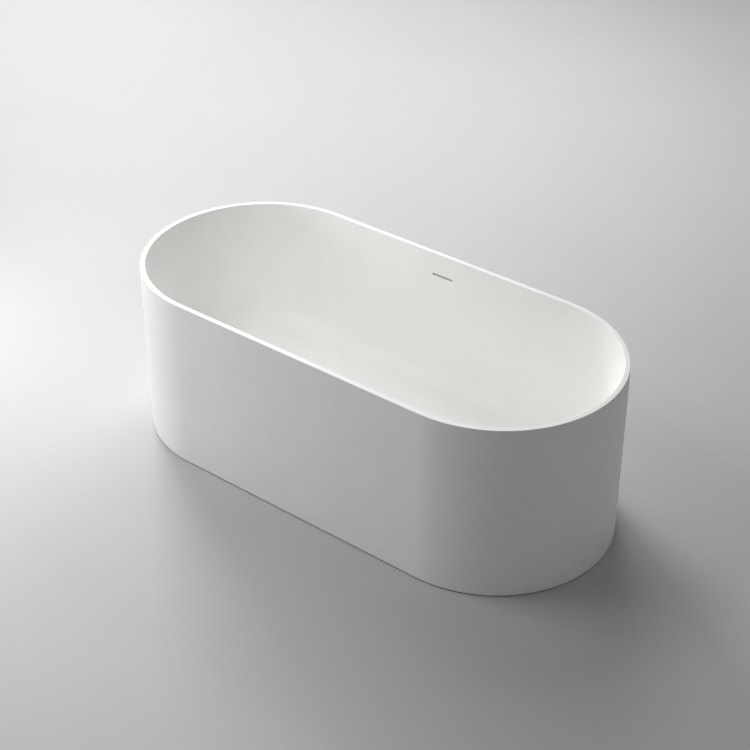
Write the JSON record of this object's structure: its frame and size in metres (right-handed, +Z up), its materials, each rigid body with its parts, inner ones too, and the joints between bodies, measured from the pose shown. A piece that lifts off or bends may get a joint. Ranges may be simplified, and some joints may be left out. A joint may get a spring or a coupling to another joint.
{
  "type": "freestanding bathtub",
  "caption": "Freestanding oval bathtub with two straight sides, an inner basin and outer skirt, overflow slot, click waste with trap, and levelling feet on a hidden steel frame.",
  "frame": {"origin": "on the floor under the middle of the tub", "axes": "+X along the tub, +Y towards the long side with the overflow slot, +Z up to the rim"},
  "size_m": [1.65, 0.75, 0.575],
  "materials": {
    "cast_white": "satin",
    "plywood": "sealed",
    "frame_steel": "powder coated",
    "zinc_steel": "zinc plated",
    "black_plastic": "moulded",
    "chrome": "polished",
    "brass": "turned",
    "cap_white": "satin",
    "seal_rubber": "moulded",
    "white_plastic": "moulded",
    "hose_grey": "corrugated"
  },
  "bodies": {
    "tub": {"basin": "cast_white", "skirt": "cast_white", "base_board": "plywood", "rail_front": "frame_steel", "rail_back": "frame_steel", "crossbar_left": "frame_steel", "crossbar_right": "frame_steel", "bar_end_caps": "black_plastic", "board_screws": "zinc_steel", "foot_sleeves": "frame_steel", "foot_locknuts": "zinc_steel", "skirt_brackets": "zinc_steel", "bracket_bolts": "zinc_steel", "flange_washer": "seal_rubber", "waste_body": "chrome", "under_washer": "seal_rubber", "back_nut": "black_plastic", "click_cartridge": "brass", "plug_spring": "zinc_steel", "waste_tee": "white_plastic", "overflow_gasket": "seal_rubber", "overflow_duct": "white_plastic", "overflow_screws": "zinc_steel", "overflow_hose": "hose_grey", "hose_nut_top": "black_plastic", "hose_nut_bottom": "black_plastic"},
    "plug": {"plug_stem": "chrome", "plug_seal": "seal_rubber", "plug_cap": "cap_white"},
    "trap": {"trap_washer": "seal_rubber", "trap_nut": "white_plastic", "trap_body": "white_plastic", "trap_cup_seal": "seal_rubber", "trap_cup": "white_plastic", "outlet_seal": "seal_rubber", "outlet_nut": "white_plastic", "outlet_pipe": "white_plastic"},
    "foot_1": {"foot_pad_1": "black_plastic"},
    "foot_1_screw": {"foot_stud_1": "zinc_steel"},
    "foot_2": {"foot_pad_2": "black_plastic"},
    "foot_2_screw": {"foot_stud_2": "zinc_steel"},
    "foot_3": {"foot_pad_3": "black_plastic"},
    "foot_3_screw": {"foot_stud_3": "zinc_steel"},
    "foot_4": {"foot_pad_4": "black_plastic"},
    "foot_4_screw": {"foot_stud_4": "zinc_steel"}
  },
  "joints": [
    {"name": "plug_press", "type": "slide", "parent": "tub", "child": "plug", "axis": [0, 0, 1], "range_m": [-0.009, 0], "stiffness_N_per_m": 300, "springref_m": 0.01, "deforming": ["plug_spring"]},
    {"name": "trap_swivel", "type": "hinge", "parent": "tub", "child": "trap", "pos_m": [0, 0, 0.1], "axis": [0, 0, 1], "continuous": true},
    {"name": "foot_1_lift", "type": "slide", "parent": "tub", "child": "foot_1", "axis": [0, 0, -1], "range_m": [0, 0.015]},
    {"name": "foot_1_turn", "type": "hinge", "parent": "foot_1", "child": "foot_1_screw", "pos_m": [-0.4, -0.27, 0.05], "axis": [0, 0, -1], "range_deg": [0, 3086]},
    {"name": "foot_2_lift", "type": "slide", "parent": "tub", "child": "foot_2", "axis": [0, 0, -1], "range_m": [0, 0.015]},
    {"name": "foot_2_turn", "type": "hinge", "parent": "foot_2", "child": "foot_2_screw", "pos_m": [0.4, -0.27, 0.05], "axis": [0, 0, -1], "range_deg": [0, 3086]},
    {"name": "foot_3_lift", "type": "slide", "parent": "tub", "child": "foot_3", "axis": [0, 0, -1], "range_m": [0, 0.015]},
    {"name": "foot_3_turn", "type": "hinge", "parent": "foot_3", "child": "foot_3_screw", "pos_m": [0.4, 0.27, 0.05], "axis": [0, 0, -1], "range_deg": [0, 3086]},
    {"name": "foot_4_lift", "type": "slide", "parent": "tub", "child": "foot_4", "axis": [0, 0, -1], "range_m": [0, 0.015]},
    {"name": "foot_4_turn", "type": "hinge", "parent": "foot_4", "child": "foot_4_screw", "pos_m": [-0.4, 0.27, 0.05], "axis": [0, 0, -1], "range_deg": [0, 3086]}
  ],
  "couplings": [
    {"joint": "foot_1_turn", "follows": "foot_1_lift", "rad_per_m": 3590.4},
    {"joint": "foot_2_turn", "follows": "foot_2_lift", "rad_per_m": 3590.4},
    {"joint": "foot_3_turn", "follows": "foot_3_lift", "rad_per_m": 3590.4},
    {"joint": "foot_4_turn", "follows": "foot_4_lift", "rad_per_m": 3590.4}
  ]
}
